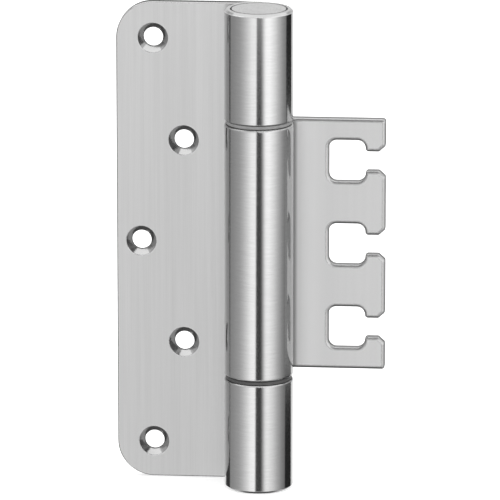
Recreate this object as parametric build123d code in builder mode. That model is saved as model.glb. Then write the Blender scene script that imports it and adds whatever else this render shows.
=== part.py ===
from build123d import *
from math import sqrt
import os

# Barrel door hinge, laid open flat with both leaves in one plane. Sizes in millimetres.
# The mounting plane at the back of the leaves is Y = 0, the barrel axis is the upright line X = 0,
# Y = -barrel_radius, and Z = 0 is mid-height. The door leaf lies towards -X, the frame leaf towards +X.

# Barrel
hinge_height = 160.0
barrel_diameter = 22.5
plate_thickness = 3.0
frame_knuckle_height = 84.0
knuckle_gap = 1.4
knuckle_edge_chamfer = 0.35
barrel_end_chamfer = 0.8

# Rolled end of each strip, bevelled to lie against the front of its own leaf
roll_seam = 0.1
roll_tip_thickness = 0.8

# Door leaf
door_leaf_reach = 47.25
door_corner_radius = 12.0
door_edge_chamfer = 0.3
knuckle_clearance = 0.6
relief_corner_radius = 1.0
screw_hole_diameter = 6.4
countersink_diameter = 10.0
countersink_angle = 90.0
screw_pitch = 34.0
outer_screw_inset = 12.0
inner_screw_inset = 22.0
middle_screw_inset = 8.0

# Frame leaf
frame_leaf_reach = 40.75
frame_corner_radius = 1.0
die_roll_width = 0.8
die_roll_depth = 0.5
hook_pitch = 28.0
hook_arm_length = 6.5
pocket_width = 12.0
pocket_height = 13.9
pocket_root_radius = 2.6
pocket_lip_radius = 2.7
neck_height = 6.5
neck_lip_radius = 0.95
mouth_chamfer_length = 2.1
mouth_chamfer_height = 1.9
mouth_radius = 1.0

# Pin, bearings and caps
pin_diameter = 14.0
pin_chamfer = 1.0
pin_end_play = 0.1
running_clearance = 0.03
seat_clearance = 0.02
bush_length = 25.0
bush_chamfer = 0.4
bush_flange_diameter = 21.6
bush_flange_thickness = 1.3
bush_flange_chamfer = 0.1
bush_undercut_chamfer = 0.35
cap_seat_diameter = 18.4
cap_thickness = 2.5
cap_clearance = 0.2
cap_groove_depth = 0.4
cap_edge_width = 0.2
seat_edge_width = 0.2
cap_plug_length = 6.0
cap_plug_chamfer = 0.5

# Values that follow from the driving dimensions
barrel_radius = barrel_diameter / 2
bore_radius = barrel_radius - plate_thickness
barrel_end = hinge_height / 2
frame_knuckle_end = frame_knuckle_height / 2
door_knuckle_start = frame_knuckle_end + knuckle_gap
door_knuckle_height = barrel_end - door_knuckle_start
liner_radius = bore_radius - seat_clearance
pin_radius = pin_diameter / 2
sleeve_bore_radius = pin_radius + seat_clearance
bush_bore_radius = pin_radius + running_clearance
cap_seat = barrel_end - cap_thickness
plug_end = cap_seat - cap_plug_length
pin_half_length = plug_end - pin_end_play

# A rolled end stops where its bevel leaves the tip thickness between the bore and its own leaf
seam_tip_reach = sqrt(bore_radius**2 - (bore_radius - roll_seam - roll_tip_thickness) ** 2)

# The door leaf stands back from the middle knuckle by the clearance, measured at its front edge
relief_reach = sqrt((barrel_radius + knuckle_clearance) ** 2 - bore_radius**2)

# Hook slots, measured from the barrel axis
pocket_mouth = frame_leaf_reach - hook_arm_length
pocket_root = pocket_mouth - pocket_width
chamfer_start = frame_leaf_reach - mouth_chamfer_length

leaf_front = Plane.XZ.offset(plate_thickness)


def across_barrel(height):
    """The plane square to the barrel at a height, with its origin on the barrel axis."""
    return Plane(origin=(0, -barrel_radius, height))


def seam_section(height, side):
    """The slit beside a rolled end and the space past its trimmed tip; side is the leaf's side in X."""
    leaf_face = bore_radius
    seam_face = leaf_face - roll_seam
    with BuildSketch(across_barrel(height)) as section:
        with BuildLine():
            Polyline(
                (0, 0),
                (0, leaf_face),
                (side * barrel_radius, leaf_face),
                (side * barrel_radius, seam_face),
                (side * seam_tip_reach, seam_face),
                (side * seam_tip_reach, 0),
                close=True,
            )
        make_face()
    return section.sketch


# Cut-out in the door leaf that leaves the middle knuckle free
with BuildSketch() as relief:
    Rectangle(relief_reach, 2 * door_knuckle_start, align=(Align.MAX, Align.CENTER))
    fillet(relief.vertices().group_by(Axis.X)[0], relief_corner_radius)

# Flat plate of the door leaf, with countersunk screw holes
with BuildPart() as door_plate:
    with BuildSketch(Plane.XZ) as door_outline:
        Rectangle(door_leaf_reach, hinge_height, align=(Align.MAX, Align.CENTER))
        fillet(door_outline.vertices().group_by(Axis.X)[0], door_corner_radius)
        add(relief.sketch, mode=Mode.SUBTRACT)
    extrude(amount=plate_thickness)
    front_edges = door_plate.faces().sort_by(Axis.Y)[0].edges()
    chamfer(front_edges.sort_by(Axis.X)[:5], door_edge_chamfer)
    with Locations(leaf_front):
        with Locations(
            (outer_screw_inset - door_leaf_reach, 2 * screw_pitch),
            (inner_screw_inset - door_leaf_reach, screw_pitch),
            (middle_screw_inset - door_leaf_reach, 0),
            (inner_screw_inset - door_leaf_reach, -screw_pitch),
            (outer_screw_inset - door_leaf_reach, -2 * screw_pitch),
        ):
            CounterSinkHole(
                screw_hole_diameter / 2,
                countersink_diameter / 2,
                counter_sink_angle=countersink_angle,
            )

# Door leaf: the plate rolled into the top and the bottom knuckle, with a seat for a cap at each end
with BuildPart() as door_leaf:
    for knuckle_start in (door_knuckle_start, -barrel_end):
        with BuildSketch(across_barrel(knuckle_start)):
            Circle(barrel_radius)
        extrude(amount=door_knuckle_height)
    rims = door_leaf.edges().filter_by(GeomType.CIRCLE).sort_by(Axis.Z)
    chamfer(rims[1:3], knuckle_edge_chamfer)
    chamfer(rims[::3], barrel_end_chamfer)
    add(door_plate.part)
    with BuildSketch(across_barrel(-barrel_end)):
        Circle(bore_radius)
    extrude(amount=hinge_height, mode=Mode.SUBTRACT)
    for seat_start in (cap_seat, -barrel_end):
        with BuildSketch(across_barrel(seat_start)):
            Circle(cap_seat_diameter / 2)
        extrude(amount=cap_thickness, mode=Mode.SUBTRACT)
    for end in (0, -1):
        end_face = door_leaf.faces().sort_by(Axis.Z)[end]
        seat_rim = end_face.edges().filter_by(GeomType.CIRCLE).sort_by(SortBy.RADIUS)[0]
        chamfer(seat_rim, seat_edge_width, cap_groove_depth, reference=end_face)
    extrude(seam_section(-barrel_end, -1), amount=hinge_height, mode=Mode.SUBTRACT)
door_leaf.part.label = "door_leaf"

# One hook slot of the frame leaf: a pocket, a narrower neck and a flared mouth at the free edge
with BuildSketch() as hook_slot:
    with BuildLine():
        Polyline(
            (pocket_root, pocket_height / 2),
            (pocket_mouth, pocket_height / 2),
            (pocket_mouth, neck_height / 2),
            (chamfer_start, neck_height / 2),
            (frame_leaf_reach, neck_height / 2 + mouth_chamfer_height),
            (frame_leaf_reach, -neck_height / 2 - mouth_chamfer_height),
            (chamfer_start, -neck_height / 2),
            (pocket_mouth, -neck_height / 2),
            (pocket_mouth, -pocket_height / 2),
            (pocket_root, -pocket_height / 2),
            close=True,
        )
    make_face()
    # Corners are rounded from the free edge inwards; in order of X they lie at the root, the pocket's
    # mouth and the start of the flare
    fillet(hook_slot.vertices().group_by(Axis.X)[2], mouth_radius)
    fillet(hook_slot.vertices().group_by(Axis.X)[1].sort_by(Axis.Y)[1:3], neck_lip_radius)
    fillet(hook_slot.vertices().group_by(Axis.X)[1].sort_by(Axis.Y)[::3], pocket_lip_radius)
    fillet(hook_slot.vertices().group_by(Axis.X)[0], pocket_root_radius)

# Flat plate of the frame leaf: hook slots down its free edge, die-rolled front edges
with BuildPart() as frame_plate:
    with BuildSketch(Plane.XZ) as frame_outline:
        Rectangle(frame_leaf_reach, frame_knuckle_height, align=(Align.MIN, Align.CENTER))
        fillet(frame_outline.vertices().group_by(Axis.X)[-1], frame_corner_radius)
        with GridLocations(0, hook_pitch, 1, 3):
            add(hook_slot.sketch, mode=Mode.SUBTRACT)
        hook_tips = frame_outline.vertices().group_by(Axis.X)[-1].sort_by(Axis.Y)[1:-1]
        fillet(hook_tips, mouth_radius)
    extrude(amount=plate_thickness)
    front = frame_plate.faces().sort_by(Axis.Y)[0]
    rolled_edges = front.edges().sort_by(Axis.X)[1:]
    chamfer(rolled_edges, die_roll_width, die_roll_depth, reference=front)

# Frame leaf: the plate rolled into the middle knuckle
with BuildPart() as frame_leaf:
    with BuildSketch(across_barrel(-frame_knuckle_end)):
        Circle(barrel_radius)
    extrude(amount=frame_knuckle_height)
    chamfer(frame_leaf.edges().filter_by(GeomType.CIRCLE), knuckle_edge_chamfer)
    add(frame_plate.part)
    with BuildSketch(across_barrel(-frame_knuckle_end)):
        Circle(bore_radius)
    extrude(amount=frame_knuckle_height, mode=Mode.SUBTRACT)
    extrude(seam_section(-frame_knuckle_end, 1), amount=frame_knuckle_height, mode=Mode.SUBTRACT)
frame_leaf.part.label = "frame_leaf"

# Hinge pin, held between the plugs of the two caps
with BuildPart() as hinge_pin:
    with BuildSketch(across_barrel(-pin_half_length)):
        Circle(pin_radius)
    extrude(amount=2 * pin_half_length)
    chamfer(hinge_pin.edges().filter_by(GeomType.CIRCLE), pin_chamfer)
hinge_pin.part.label = "hinge_pin"

# Flanged bush in one end of the middle knuckle; its flange carries the door knuckle beside it
with BuildPart() as bearing_bush:
    with BuildSketch(across_barrel(frame_knuckle_end - bush_length)):
        Circle(liner_radius)
    extrude(amount=bush_length)
    chamfer(bearing_bush.edges().group_by(Axis.Z)[0], bush_chamfer)
    with BuildSketch(across_barrel(frame_knuckle_end)):
        Circle(bush_flange_diameter / 2)
    extrude(amount=bush_flange_thickness)
    flange_rims = bearing_bush.edges().filter_by(GeomType.CIRCLE).sort_by(SortBy.RADIUS)[-2:]
    chamfer(flange_rims.sort_by(Axis.Z)[0], bush_undercut_chamfer)
    chamfer(flange_rims.sort_by(Axis.Z)[1], bush_flange_chamfer)
    with BuildSketch(across_barrel(frame_knuckle_end - bush_length)):
        Circle(bush_bore_radius)
    extrude(amount=bush_length + bush_flange_thickness, mode=Mode.SUBTRACT)

# Sleeve that fills a door knuckle between its bore and the pin
with BuildPart() as pin_sleeve:
    with BuildSketch(across_barrel(door_knuckle_start)):
        Circle(liner_radius)
        Circle(sleeve_bore_radius, mode=Mode.SUBTRACT)
    extrude(amount=cap_seat - door_knuckle_start)

# Cap flush with the end of the barrel inside a shallow groove, with a plug that grips the sleeve
with BuildPart() as cap:
    with BuildSketch(across_barrel(cap_seat)):
        Circle(cap_seat_diameter / 2 - cap_clearance)
    extrude(amount=cap_thickness)
    cap_face = cap.faces().sort_by(Axis.Z)[-1]
    chamfer(cap_face.edges(), cap_edge_width, cap_groove_depth, reference=cap_face)
    with BuildSketch(across_barrel(plug_end)):
        Circle(sleeve_bore_radius - seat_clearance)
    extrude(amount=cap_plug_length)
    chamfer(cap.edges().group_by(Axis.Z)[0], cap_plug_chamfer)

os.makedirs("parts", exist_ok=True)
for piece in (door_leaf, frame_leaf, hinge_pin):
    export_step(piece.part, f"parts/{piece.part.label}.step")

# Each barrel piece that comes in pairs is made for the upper half and mirrored for the lower half
pairs = (
    (bearing_bush, "upper_bearing_bush", "lower_bearing_bush"),
    (pin_sleeve, "upper_pin_sleeve", "lower_pin_sleeve"),
    (cap, "top_cap", "bottom_cap"),
)
for piece, upper_name, lower_name in pairs:
    lower = mirror(piece.part, about=Plane.XY)
    for part, name in ((piece.part, upper_name), (lower, lower_name)):
        part.label = name
        export_step(part, f"parts/{name}.step")
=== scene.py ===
from math import cos, radians, sin

import bpy
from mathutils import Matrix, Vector


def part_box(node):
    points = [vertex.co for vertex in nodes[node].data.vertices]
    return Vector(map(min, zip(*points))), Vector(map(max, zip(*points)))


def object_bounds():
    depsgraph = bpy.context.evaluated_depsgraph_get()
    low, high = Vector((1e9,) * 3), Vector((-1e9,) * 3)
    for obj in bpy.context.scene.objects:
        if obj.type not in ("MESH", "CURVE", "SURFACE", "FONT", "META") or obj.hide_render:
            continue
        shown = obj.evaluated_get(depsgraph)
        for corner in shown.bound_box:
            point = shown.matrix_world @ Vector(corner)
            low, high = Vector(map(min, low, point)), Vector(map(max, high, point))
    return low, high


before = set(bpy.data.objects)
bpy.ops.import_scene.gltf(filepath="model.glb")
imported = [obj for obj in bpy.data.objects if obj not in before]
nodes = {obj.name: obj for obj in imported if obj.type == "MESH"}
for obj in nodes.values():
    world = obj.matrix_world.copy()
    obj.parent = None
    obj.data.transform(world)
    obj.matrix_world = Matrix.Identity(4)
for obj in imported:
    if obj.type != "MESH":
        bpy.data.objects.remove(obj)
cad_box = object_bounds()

# Barrel door hinge in a light tent, in metres. +Z runs up the barrel, the camera looks along +Y.

hinge_low = cad_box[0]
leaf_low, leaf_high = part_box("frame_leaf")
barrel_radius = (leaf_high.y - leaf_low.y) / 2
barrel_axis_y = leaf_low.y + barrel_radius
white = (1.0, 1.0, 1.0, 1.0)

# Camera, at the photograph's angle
view_azimuth = radians(4.5)
view_elevation = radians(14.0)
view_distance = 2.0
view_aim = Vector((-0.00288, barrel_axis_y, -0.00043))
view_lens = 441.7
view_end = 20.0

# Light tent round the hinge, dark at the camera's slit and at the ends of the sheet
tent_radius = 0.8
tent_bottom = -0.9
tent_top = 0.5
tent_facets = 96
tent_start = -140.0
tent_end = 143.0
tent_peak = 1.6
# Lean of the dark stretches, in degrees to the right per metre of height above the reflection's middle
tent_lean = 22.0
tent_middle = -0.2
# Brightness round the tent, as a share of its peak: degrees from the front, towards the right
tent_profile = (
    (-140.0, 0.03),
    (-107.5, 0.03),
    (-106.0, 0.22),
    (-90.0, 0.24),
    (-64.0, 0.31),
    (-50.0, 0.42),
    (-35.0, 0.60),
    (-21.0, 0.82),
    (-5.5, 0.88),
    (28.0, 0.98),
    (38.0, 1.0),
    (55.0, 0.76),
    (70.0, 0.50),
    (88.0, 0.29),
    (104.5, 0.18),
    (106.0, 0.015),
    (143.0, 0.015),
)
# Brightness of the tent's foot on the left and on the right, and where it fades
tent_foot_levels = (1.07, 0.8)
tent_foot_angle = (-5.0, 15.0)
tent_foot_fade = (-0.30, -0.08)
# Brightness below the foot
tent_low_level = 0.7
tent_low_fade = (-0.55, -0.34)
# The camera's slit and the lens above it: degrees at which the left and the right side fade, heights at
# which the lower and the upper end fade, and how much of the light is missing
slit = ((-8.0, -2.0), (9.0, 30.0), (-0.46, -0.38), (-0.14, 0.06), 0.95)
lens_hole = ((-14.0, -10.0), (1.0, 5.0), (0.06, 0.10), (0.30, 0.36), 0.97)
# Opening between the two black flags at the right
flag_angle = (103.5, 105.5)
flag_gap_low = (-0.265, -0.25)
flag_gap_high = (-0.142, -0.128)
flag_gap_level = 0.2
# Dimmer cloth high up, except on the right
upper_level = 0.9
upper_fade = (0.02, 0.14)
upper_angle = (30.0, 60.0)
# Least brightness above the dark stretches
clear_level = 0.5
clear_fade = (0.02, 0.12)

# Softbox over the hinge and behind it
softbox_size = 2.6
softbox_place = (0.0, 0.7, 1.3)
softbox_power = 18.0

# Noise: the stretch of its values that is used, and how many finer layers coarse and fine grain have
noise_range = (0.3, 0.7)
coarse_detail = 3.0
fine_detail = 2.0
# Rays for each crease and each rounded edge
look_samples = 8

# Plates of the leaves
plate_thickness = 0.003
face_skin = 0.0001
broad_cell = (0.0015, 0.0015, 0.09)
# Painted shade in the creases of the plates: openness at which it is full and at which it ends, and share
# lost
plate_openness = (0.0, 0.8)
plate_painted_shade_share = 0.85
roughness_swing = 0.04
edge_likeness = (0.9995, 0.99)
leaf_relief = (0.25, 0.00001)
# Front of a plate beside the barrel, where light and a shadow line are painted: distances from the axis at
# which the painted shadow line fades, and depths at which the front ends
painted_shadow_band = (0.0136, 0.0148)
front_depth = (0.0005, 0.0010)
# Rolled rim of a punched edge, and the gleam of the sheared wall behind it
rolled_depth = 0.0005
rolled_fade = 0.0002
wall_gleam = 0.25
# Bored walls behind the countersinks, painted dark as shade: their depth, and the part of the plate that
# holds the screw holes
bored_depth = 0.0018
bored_fade = 0.00005
bored_painted_shade = 0.12
bored_roughness = 0.5
screw_zone_left = -0.0440
screw_zone_right = -0.015
screw_zone_height = 0.075
screw_zone_fade = 0.0005
# Finish of each leaf, with painted light beside the barrel and painted shade on its edges, rims and creases
door_finish_and_painted_light = {
    "tone": 0.60,
    "grain": 0.015,
    "grain_cell": (0.00025, 0.00025, 0.03),
    "roughness": 0.38,
    "painted_light_near_barrel": 1.12,
    "painted_light_reach": 0.02,
    "painted_contact_shadow": 0.75,
    "edge_radius": 0.0003,
    "painted_edge_shade": 0.60,
    "edge_roughness": 0.12,
    "painted_roll_shade": 0.40,
    "wall_tone": 0.40,
    "wall_roughness": 0.12,
    "painted_crease": 0.001,
}
frame_finish_and_painted_light = {
    "tone": 0.72,
    "grain": 0.006,
    "grain_cell": (0.0006, 0.0006, 0.0006),
    "roughness": 0.60,
    "painted_light_near_barrel": 1.30,
    "painted_light_reach": 0.014,
    "painted_contact_shadow": 0.55,
    "edge_radius": 0.0008,
    "painted_edge_shade": 0.50,
    "edge_roughness": 0.25,
    "painted_roll_shade": 0.50,
    "wall_tone": 0.36,
    "wall_roughness": 0.45,
    "painted_crease": 0.0045,
}

# Knuckles of the leaves: where their finish fades outside the barrel, and where their ends, darker as
# painted shade, start inside it
knuckle_fade = (0.0001, 0.0004)
knuckle_end_fade = (-0.0002, -0.0001)
knuckle_tone = 0.58
knuckle_end_painted_shade = 0.38
knuckle_tone_swing = 0.02
knuckle_roughness = (0.09, 0.14)
turned_line_cell = (0.004, 0.004, 0.00022)
turned_speck_cell = (0.0007, 0.0007, 0.0004)
turned_speck_share = 0.4
# Painted shade in creases, and on the barrel's flanks beside the plates: reach, openness at which the
# shading is full and at which it ends, share of the shade that is lost
groove_painted_shade = (0.0015, (0.3, 0.95), 0.9)
flank_painted_shade = (0.1, (0.74, 0.94), 0.4)
cap_painted_shade = (0.002, (0.3, 0.95), 0.9)

# Caps, pin and sleeves
steel_cloud_cell = (0.003, 0.003, 0.003)
steel_speck_cell = (0.0005, 0.0005, 0.0005)
steel_tone_swing = 0.02
steel_relief = (0.2, 0.00001)
steel_roughness = 0.3
cap_tone = 0.44
pin_tone = 0.55

# Bearing bushes: one plastic, the lower bush darker as painted shade in its joint
bearing_cloud_cell = (0.002, 0.002, 0.002)
bearing_grain_cell = (0.0003, 0.0003, 0.0003)
bearing_tone_swing = 0.1
bearing_roughness = (0.4, 0.55)
bearing_relief = (0.2, 0.00002)
upper_bearing_tone = 0.32
lower_bearing_painted_shade = 0.09

# Floor and background
floor_size = 4.0
floor_drop = 0.0002
floor_colour = (0.82, 0.82, 0.82, 1.0)
floor_roughness = 0.9
floor_glow = 0.6
ambient_level = 0.6
# Dark room above the tent, on the camera's side: where it fades along Z and Y
dark_level = 0.3
dark_above = (0.4, 0.55)
dark_in_front = (-0.45, -0.25)
# Dark table below: where it fades along Z
dark_below = (-0.9, -0.75)
below_level = 0.15


def add_node(tree, kind, **settings):
    made = tree.nodes.new(kind)
    for name, value in settings.items():
        setattr(made, name, value)
    return made


def feed(tree, socket, source):
    """Sets a socket to a plain value, or links it to another node's output."""
    if isinstance(source, bpy.types.NodeSocket):
        tree.links.new(source, socket)
    else:
        socket.default_value = source


def calculate(tree, operation, first, second=0.0):
    made = add_node(tree, "ShaderNodeMath", operation=operation)
    feed(tree, made.inputs[0], first)
    feed(tree, made.inputs[1], second)
    return made.outputs[0]


def multiply(tree, first, *others):
    for other in others:
        first = calculate(tree, "MULTIPLY", first, other)
    return first


def spread(tree, value, from_low, from_high, to_low, to_high):
    """Maps a value smoothly from one range to another, held at the ends."""
    made = add_node(tree, "ShaderNodeMapRange", interpolation_type="SMOOTHSTEP")
    for name, source in (
        ("Value", value),
        ("From Min", from_low),
        ("From Max", from_high),
        ("To Min", to_low),
        ("To Max", to_high),
    ):
        feed(tree, made.inputs[name], source)
    return made.outputs["Result"]


def swing(tree, noise, middle, half):
    """Goes with the noise from half a swing below the middle value to half a swing above it."""
    return spread(tree, noise, *noise_range, middle - half, middle + half)


def blend(tree, share, first, second):
    """Goes from the first number to the second as the share goes from 0 to 1."""
    made = add_node(tree, "ShaderNodeMix", data_type="FLOAT")
    feed(tree, made.inputs["Factor"], share)
    feed(tree, made.inputs["A"], first)
    feed(tree, made.inputs["B"], second)
    return made.outputs["Result"]


def streaks(tree, place, cell, detail=coarse_detail):
    """Noise whose cells have the given size along X, Y and Z, in metres."""
    mapping = add_node(tree, "ShaderNodeMapping")
    feed(tree, mapping.inputs["Vector"], place)
    mapping.inputs["Scale"].default_value = [1 / length for length in cell]
    noise = add_node(tree, "ShaderNodeTexNoise")
    feed(tree, noise.inputs["Vector"], mapping.outputs["Vector"])
    noise.inputs["Scale"].default_value = 1.0
    noise.inputs["Detail"].default_value = detail
    return noise.outputs["Fac"]


def grey(tree, value):
    made = add_node(tree, "ShaderNodeCombineColor")
    for channel in made.inputs:
        feed(tree, channel, value)
    return made.outputs["Color"]


def new_material(name):
    material = bpy.data.materials.new(name)
    material.use_nodes = True
    tree = material.node_tree
    return material, tree, tree.nodes["Principled BSDF"]


def object_place(tree):
    return add_node(tree, "ShaderNodeTexCoord").outputs["Object"]


def parts_of(tree, vector):
    """The X, Y and Z of a vector."""
    made = add_node(tree, "ShaderNodeSeparateXYZ")
    feed(tree, made.inputs[0], vector)
    return made.outputs


def axis_distance(tree, place):
    """How far a point lies from the barrel axis."""
    flat = add_node(tree, "ShaderNodeVectorMath", operation="MULTIPLY_ADD")
    feed(tree, flat.inputs[0], place)
    flat.inputs[1].default_value = (1.0, 1.0, 0.0)
    flat.inputs[2].default_value = (0.0, -barrel_axis_y, 0.0)
    made = add_node(tree, "ShaderNodeVectorMath", operation="LENGTH")
    feed(tree, made.inputs[0], flat.outputs["Vector"])
    return made.outputs["Value"]


def barrel_share(tree, reach, fade):
    """1 near the barrel axis and 0 beyond a fade, given from the barrel's surface outwards."""
    return spread(tree, reach, barrel_radius + fade[0], barrel_radius + fade[1], 1.0, 0.0)


def cut_share(tree, place):
    """1 inside the thickness of a plate, on cut edges and in holes, and 0 on its two faces."""
    depth = parts_of(tree, place)["Y"]
    front = spread(tree, depth, -plate_thickness, -plate_thickness + face_skin, 0.0, 1.0)
    back = spread(tree, depth, -face_skin, 0.0, 1.0, 0.0)
    return multiply(tree, front, back)


def depth_in_plate(tree, place):
    """How far a point of a plate lies behind its front face."""
    return calculate(tree, "ADD", parts_of(tree, place)["Y"], plate_thickness)


def bored_share(tree, place):
    """1 on the walls of the screw holes behind their countersinks."""
    parts = parts_of(tree, place)
    across = parts["X"]
    upright = calculate(tree, "ABSOLUTE", parts["Z"])
    depth = depth_in_plate(tree, place)
    share = spread(tree, depth, bored_depth - bored_fade, bored_depth + bored_fade, 0.0, 1.0)
    for value, start, end in (
        (across, screw_zone_left - screw_zone_fade, screw_zone_left),
        (across, screw_zone_right + screw_zone_fade, screw_zone_right),
        (upright, screw_zone_height + screw_zone_fade, screw_zone_height),
    ):
        share = multiply(tree, share, spread(tree, value, start, end, 0.0, 1.0))
    return share


def paint_crease_shade(tree, shade, reach, openness, share):
    """Paints shade into a colour in gaps and corners narrower than the reach, from ambient occlusion."""
    made = add_node(tree, "ShaderNodeAmbientOcclusion", samples=look_samples)
    made.inputs["Distance"].default_value = reach
    return multiply(tree, shade, spread(tree, made.outputs["AO"], *openness, 1.0 - share, 1.0))


def round_edges(tree, radius):
    """A normal with rounded edges, and the share of the rounding in it."""
    rounded = add_node(tree, "ShaderNodeBevel", samples=look_samples)
    rounded.inputs["Radius"].default_value = radius
    likeness = add_node(tree, "ShaderNodeVectorMath", operation="DOT_PRODUCT")
    feed(tree, likeness.inputs[0], rounded.outputs["Normal"])
    feed(tree, likeness.inputs[1], add_node(tree, "ShaderNodeNewGeometry").outputs["Normal"])
    share = spread(tree, likeness.outputs["Value"], *edge_likeness, 0.0, 1.0)
    return rounded.outputs["Normal"], share


def add_relief(tree, shader, height, strength, distance, normal=None):
    """Gives a material fine bumps, on top of another normal if there is one."""
    relief = add_node(tree, "ShaderNodeBump")
    relief.inputs["Strength"].default_value = strength
    relief.inputs["Distance"].default_value = distance
    feed(tree, relief.inputs["Height"], height)
    if normal is not None:
        feed(tree, relief.inputs["Normal"], normal)
    feed(tree, shader.inputs["Normal"], relief.outputs["Normal"])


def leaf_steel(name, finish):
    """Stainless steel of a leaf: its plate in one finish, its rolled knuckles turned and polished, with
    painted light and shade.
    """
    material, tree, shader = new_material(name)
    place = object_place(tree)
    reach = axis_distance(tree, place)
    depth = depth_in_plate(tree, place)
    knuckle = barrel_share(tree, reach, knuckle_fade)
    knuckle_end = barrel_share(tree, reach, knuckle_end_fade)
    cut = cut_share(tree, place)
    sheared = spread(tree, depth, rolled_depth, rolled_depth + rolled_fade, 0.0, 1.0)
    bored = bored_share(tree, place)
    rounded, edge = round_edges(tree, finish["edge_radius"])
    fine = streaks(tree, place, finish["grain_cell"])
    broad = streaks(tree, place, broad_cell)
    turned_lines = streaks(tree, place, turned_line_cell)
    turned_specks = streaks(tree, place, turned_speck_cell, fine_detail)

    grain = finish["grain"]
    face_shade = calculate(
        tree,
        "ADD",
        swing(tree, fine, finish["tone"], grain),
        swing(tree, broad, 0.0, grain),
    )
    # Painted light: the front is lighter near the barrel; painted shadow: a dark line where it meets the
    # barrel
    painted_light_end = barrel_radius + finish["painted_light_reach"]
    painted_light = spread(tree, reach, barrel_radius, painted_light_end, finish["painted_light_near_barrel"], 1.0)
    painted_shadow = spread(tree, reach, *painted_shadow_band, finish["painted_contact_shadow"], 1.0)
    front = spread(tree, depth, *front_depth, 1.0, 0.0)
    painted_beside_barrel = blend(tree, front, 1.0, multiply(tree, painted_light, painted_shadow))
    # Painted shade: rounded edges and rolled rims take a darker tone
    face_shade = blend(tree, edge, multiply(tree, face_shade, painted_beside_barrel), finish["painted_edge_shade"])
    wall_shade = blend(tree, sheared, finish["painted_roll_shade"], finish["wall_tone"])
    # Painted shade: the bored walls of the screw holes are dark
    wall_shade = blend(tree, bored, wall_shade, bored_painted_shade)
    plate_shade = blend(tree, cut, face_shade, wall_shade)
    plate_shade = paint_crease_shade(tree, plate_shade, finish["painted_crease"], plate_openness, plate_painted_shade_share)
    # Painted shade: the knuckle ends and their chamfers take a darker tone
    knuckle_shade = calculate(
        tree,
        "ADD",
        swing(tree, turned_lines, 0.0, knuckle_tone_swing),
        blend(tree, knuckle_end, knuckle_tone, knuckle_end_painted_shade),
    )
    # Painted shade in the grooves and on the barrel's flanks beside the plates
    for painted_crease in (groove_painted_shade, flank_painted_shade):
        knuckle_shade = paint_crease_shade(tree, knuckle_shade, *painted_crease)
    feed(tree, shader.inputs["Base Color"], grey(tree, blend(tree, knuckle, plate_shade, knuckle_shade)))
    shader.inputs["Metallic"].default_value = 1.0
    gleam = blend(tree, cut, 1.0, blend(tree, sheared, 1.0, wall_gleam))
    feed(tree, shader.inputs["Specular Tint"], grey(tree, blend(tree, knuckle, gleam, 1.0)))

    face_rough = swing(tree, fine, finish["roughness"], roughness_swing)
    face_rough = blend(tree, edge, face_rough, finish["edge_roughness"])
    wall_rough = blend(tree, sheared, finish["edge_roughness"], finish["wall_roughness"])
    wall_rough = blend(tree, bored, wall_rough, bored_roughness)
    plate_rough = blend(tree, cut, face_rough, wall_rough)
    knuckle_rough = spread(tree, turned_specks, *noise_range, *knuckle_roughness)
    feed(tree, shader.inputs["Roughness"], blend(tree, knuckle, plate_rough, knuckle_rough))

    turned = blend(tree, turned_speck_share, turned_lines, turned_specks)
    add_relief(tree, shader, blend(tree, knuckle, fine, turned), *leaf_relief, rounded)
    return material


def turned_steel(name, tone):
    """Plain steel with faint clouds, a fine grain and painted shade in its creases."""
    material, tree, shader = new_material(name)
    place = object_place(tree)
    clouds = streaks(tree, place, steel_cloud_cell)
    specks = streaks(tree, place, steel_speck_cell, fine_detail)
    shade = paint_crease_shade(tree, swing(tree, clouds, tone, steel_tone_swing), *cap_painted_shade)
    feed(tree, shader.inputs["Base Color"], grey(tree, shade))
    feed(tree, shader.inputs["Roughness"], swing(tree, specks, steel_roughness, roughness_swing))
    shader.inputs["Metallic"].default_value = 1.0
    add_relief(tree, shader, specks, *steel_relief)
    return material


def bearing_plastic(name, tone):
    """Sliding-bearing plastic with a faint moulded grain."""
    material, tree, shader = new_material(name)
    place = object_place(tree)
    clouds = streaks(tree, place, bearing_cloud_cell)
    grain = streaks(tree, place, bearing_grain_cell, fine_detail)
    shade = swing(tree, clouds, tone, tone * bearing_tone_swing)
    feed(tree, shader.inputs["Base Color"], grey(tree, shade))
    feed(tree, shader.inputs["Roughness"], spread(tree, grain, *noise_range, *bearing_roughness))
    add_relief(tree, shader, grain, *bearing_relief)
    return material


def shown_white(tree):
    """1 for the rays that show the background: from the camera, in gloss and through glass."""
    path = add_node(tree, "ShaderNodeLightPath")
    camera_or_gloss = calculate(
        tree, "MAXIMUM", path.outputs["Is Camera Ray"], path.outputs["Is Glossy Ray"]
    )
    return calculate(tree, "MAXIMUM", camera_or_gloss, path.outputs["Is Transmission Ray"])


def light_world():
    world = bpy.data.worlds.new("studio")
    bpy.context.scene.world = world
    world.use_nodes = True
    tree = world.node_tree
    background = tree.nodes["Background"]
    background.inputs["Color"].default_value = white
    parts = parts_of(tree, add_node(tree, "ShaderNodeTexCoord").outputs["Generated"])
    above = spread(tree, parts["Z"], *dark_above, 0.0, 1.0)
    in_front = spread(tree, parts["Y"], *dark_in_front, 1.0, 0.0)
    room = blend(tree, multiply(tree, above, in_front), 1.0, dark_level)
    table = spread(tree, parts["Z"], *dark_below, below_level, 1.0)
    level = blend(tree, shown_white(tree), ambient_level, 1.0)
    feed(tree, background.inputs["Strength"], multiply(tree, level, room, table))


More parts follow.
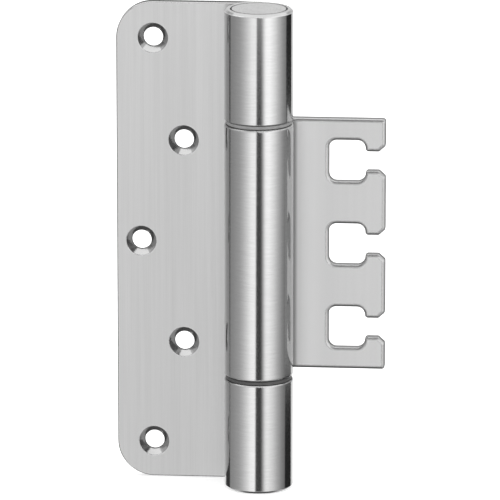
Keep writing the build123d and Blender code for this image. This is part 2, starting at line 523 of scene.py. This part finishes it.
def outside(tree, leaning, upright, height, left, right, low, high, depth):
    """1 outside a soft-edged opening in the tent, whose left side leans, and less inside it."""
    inside = spread(tree, leaning, *left, 0.0, depth)
    for value, ends, at_start, at_end in (
        (upright, right, 1.0, 0.0),
        (height, low, 0.0, 1.0),
        (height, high, 1.0, 0.0),
    ):
        inside = multiply(tree, inside, spread(tree, value, *ends, at_start, at_end))
    return calculate(tree, "SUBTRACT", 1.0, inside)


def tent_brightness(tree, angle):
    """Brightness of the sheet at an angle round it, before the openings and fades."""
    made = add_node(tree, "ShaderNodeMapRange")
    feed(tree, made.inputs["Value"], angle)
    made.inputs["From Min"].default_value = tent_start
    made.inputs["From Max"].default_value = tent_end
    ramp = add_node(tree, "ShaderNodeValToRGB")
    feed(tree, ramp.inputs["Fac"], made.outputs["Result"])
    stops = ramp.color_ramp.elements
    stops.remove(stops[1])
    for number, (degrees_round, level) in enumerate(tent_profile):
        position = (degrees_round - tent_start) / (tent_end - tent_start)
        stop = stops[0] if number == 0 else stops.new(position)
        stop.position = position
        stop.color = (level, level, level, 1.0)
    return ramp.outputs["Color"]


def tent_material():
    material = bpy.data.materials.new("tent_cloth")
    material.use_nodes = True
    tree = material.node_tree
    tree.nodes.remove(tree.nodes["Principled BSDF"])
    parts = parts_of(tree, object_place(tree))
    height = parts["Z"]
    forward = calculate(tree, "SUBTRACT", barrel_axis_y, parts["Y"])
    turn = calculate(tree, "DEGREES", calculate(tree, "ARCTAN2", parts["X"], forward))
    lean = multiply(tree, calculate(tree, "SUBTRACT", height, tent_middle), tent_lean)
    angle = calculate(tree, "SUBTRACT", turn, lean)

    foot = spread(tree, angle, *tent_foot_angle, *tent_foot_levels)
    foot = spread(tree, height, *tent_foot_fade, foot, 1.0)
    low = spread(tree, height, *tent_low_fade, tent_low_level, 1.0)
    upper = multiply(
        tree,
        spread(tree, height, *upper_fade, 0.0, upper_level - 1.0),
        spread(tree, angle, *upper_angle, 1.0, 0.0),
    )
    level = multiply(tree, tent_brightness(tree, angle), foot, low, calculate(tree, "ADD", 1.0, upper))
    gap = multiply(
        tree,
        spread(tree, angle, *flag_angle, 0.0, flag_gap_level),
        spread(tree, height, *flag_gap_low, 0.0, 1.0),
        spread(tree, height, *flag_gap_high, 1.0, 0.0),
    )
    level = calculate(tree, "ADD", level, gap)
    level = calculate(tree, "MAXIMUM", level, spread(tree, height, *clear_fade, 0.0, clear_level))
    for opening in (slit, lens_hole):
        level = multiply(tree, level, outside(tree, angle, turn, height, *opening))
    glow = add_node(tree, "ShaderNodeEmission")
    feed(tree, glow.inputs["Strength"], multiply(tree, level, tent_peak))
    tree.links.new(glow.outputs["Emission"], tree.nodes["Material Output"].inputs["Surface"])
    return material


def build_tent():
    """A standing sheet bent round the barrel axis, which lights the hinge and shows only in its gloss."""
    points = []
    for number in range(tent_facets + 1):
        angle = radians(tent_start + (tent_end - tent_start) * number / tent_facets)
        across = tent_radius * sin(angle)
        depth = barrel_axis_y - tent_radius * cos(angle)
        points += [(across, depth, tent_bottom), (across, depth, tent_top)]
    faces = [(2 * n, 2 * n + 1, 2 * n + 3, 2 * n + 2) for n in range(tent_facets)]
    mesh = bpy.data.meshes.new("light_tent")
    mesh.from_pydata(points, [], faces)
    mesh.materials.append(tent_material())
    tent = bpy.data.objects.new("light_tent", mesh)
    bpy.context.scene.collection.objects.link(tent)
    tent.visible_camera = False
    tent.visible_shadow = False


def hang_softbox():
    lamp = bpy.data.lights.new("softbox", "AREA")
    lamp.size = softbox_size
    lamp.energy = softbox_power
    softbox = bpy.data.objects.new("softbox", lamp)
    softbox.location = softbox_place
    bpy.context.scene.collection.objects.link(softbox)


def build_floor():
    half = floor_size / 2
    height = hinge_low.z - floor_drop
    mesh = bpy.data.meshes.new("floor")
    corners = [(-half, -half, height), (half, -half, height), (half, half, height), (-half, half, height)]
    mesh.from_pydata(corners, [], [(0, 1, 2, 3)])
    material, tree, shader = new_material("floor_white")
    shader.inputs["Base Color"].default_value = floor_colour
    shader.inputs["Roughness"].default_value = floor_roughness
    shader.inputs["Emission Color"].default_value = white
    feed(tree, shader.inputs["Emission Strength"], multiply(tree, shown_white(tree), floor_glow))
    mesh.materials.append(material)
    floor = bpy.data.objects.new("floor", mesh)
    bpy.context.scene.collection.objects.link(floor)
    floor.visible_glossy = False
    floor.visible_shadow = False


def place_camera():
    lens = bpy.data.cameras.new("camera")
    lens.lens = view_lens
    lens.clip_end = view_end
    camera = bpy.data.objects.new("camera", lens)
    bpy.context.scene.collection.objects.link(camera)
    back = Vector(
        (
            sin(view_azimuth) * cos(view_elevation),
            -cos(view_azimuth) * cos(view_elevation),
            sin(view_elevation),
        )
    )
    centre = Vector((0.0, barrel_axis_y, 0.0))
    camera.location = centre + back * view_distance
    camera.rotation_euler = (view_aim - camera.location).to_track_quat("-Z", "Y").to_euler()
    bpy.context.scene.camera = camera


def dress(node_name, material):
    slots = nodes[node_name].data.materials
    slots.clear()
    slots.append(material)


bpy.context.scene.view_settings.view_transform = "Standard"
light_world()
build_tent()
hang_softbox()
build_floor()
place_camera()

dress("door_leaf", leaf_steel("brushed_plate", door_finish_and_painted_light))
dress("frame_leaf", leaf_steel("satin_plate", frame_finish_and_painted_light))
pin_steel = turned_steel("turned_steel", pin_tone)
for node_name in ("hinge_pin", "upper_pin_sleeve", "lower_pin_sleeve"):
    dress(node_name, pin_steel)
dress("upper_bearing_bush", bearing_plastic("bearing", upper_bearing_tone))
# The lower bush gets a darker copy of the plastic, painted shade
dress("lower_bearing_bush", bearing_plastic("dark_bearing", lower_bearing_painted_shade))
cap_steel = turned_steel("cap_steel", cap_tone)
for node_name in ("top_cap", "bottom_cap"):
    dress(node_name, cap_steel)
